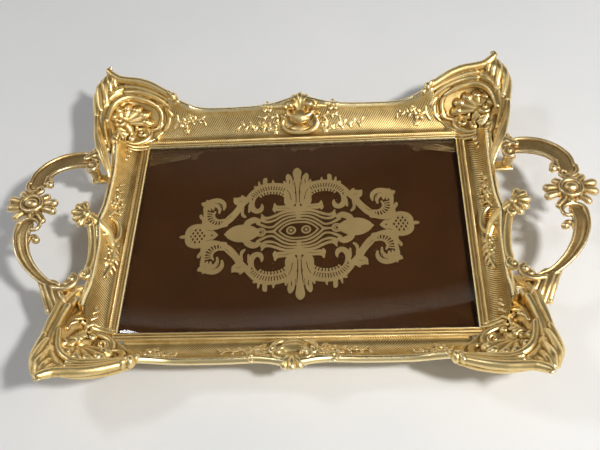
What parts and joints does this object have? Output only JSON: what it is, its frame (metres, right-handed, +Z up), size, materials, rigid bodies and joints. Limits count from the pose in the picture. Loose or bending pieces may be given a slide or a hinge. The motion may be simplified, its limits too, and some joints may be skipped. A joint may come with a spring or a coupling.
{
  "type": "dresser vanity tray",
  "caption": "Rectangular gilt tray with a swept cast frame, shell crests, scroll corners, two open scroll handles and glass over lace.",
  "frame": {"origin": "centre of the object's box on the table, under the middle of the glass", "axes": "+X along the long side towards the right handle, +Y towards the back crest, +Z up"},
  "size_m": [0.4382, 0.283, 0.0589],
  "materials": {
    "gilt": "antique gilt, burnished high points, dark patina in the recesses",
    "bronze_gilt": "satin bronze gilt",
    "glass": "clear, polished",
    "lace": "gold thread lace",
    "brown_fabric": "dark brown satin weave",
    "board": "hardboard",
    "steel": "zinc plated",
    "brass": "turned brass",
    "felt": "brown felt"
  },
  "bodies": {
    "frame": {"rail_back": "gilt", "rail_front": "gilt", "rail_left": "gilt", "rail_right": "gilt", "corner_back_left": "gilt", "corner_back_right": "gilt", "corner_front_left": "gilt", "corner_front_right": "gilt", "crest_back": "gilt", "crest_front": "gilt", "cartouche_left": "gilt", "cartouche_right": "gilt", "handle_left": "bronze_gilt", "handle_right": "bronze_gilt", "glass_plate": "glass", "lace_medallion": "lace", "fabric_panel": "brown_fabric", "backing_board": "board", "mitre_brace_back_left": "steel", "mitre_brace_back_right": "steel", "mitre_brace_front_left": "steel", "mitre_brace_front_right": "steel", "corner_screw_back_left": "brass", "corner_screw_back_right": "brass", "corner_screw_front_left": "brass", "corner_screw_front_right": "brass", "brace_screw_back_left": "brass", "brace_screw_back_right": "brass", "brace_screw_front_left": "brass", "brace_screw_front_right": "brass", "button_screw_1": "brass", "button_screw_2": "brass", "button_screw_3": "brass", "button_screw_4": "brass", "crest_screw_back": "brass", "crest_screw_front": "brass", "cartouche_screw_left": "brass", "cartouche_screw_right": "brass", "handle_screw_root_left": "brass", "handle_screw_root_right": "brass", "handle_screw_foot_left": "brass", "handle_screw_foot_right": "brass", "foot_back_left": "felt", "foot_back_right": "felt", "foot_front_left": "felt", "foot_front_right": "felt"},
    "turn_button_1": {"turn_button_1": "steel"},
    "turn_button_2": {"turn_button_2": "steel"},
    "turn_button_3": {"turn_button_3": "steel"},
    "turn_button_4": {"turn_button_4": "steel"}
  },
  "joints": [
    {"name": "turn_button_1_swivel", "type": "hinge", "parent": "frame", "child": "turn_button_1", "pos_m": [-0.062, 0.09675, 0.0045], "axis": [0, 0, 1], "range_deg": [-90, 90]},
    {"name": "turn_button_2_swivel", "type": "hinge", "parent": "frame", "child": "turn_button_2", "pos_m": [0.062, 0.09675, 0.0045], "axis": [0, 0, 1], "range_deg": [-90, 90]},
    {"name": "turn_button_3_swivel", "type": "hinge", "parent": "frame", "child": "turn_button_3", "pos_m": [-0.062, -0.09675, 0.0045], "axis": [0, 0, 1], "range_deg": [-90, 90]},
    {"name": "turn_button_4_swivel", "type": "hinge", "parent": "frame", "child": "turn_button_4", "pos_m": [0.062, -0.09675, 0.0045], "axis": [0, 0, 1], "range_deg": [-90, 90]}
  ]
}
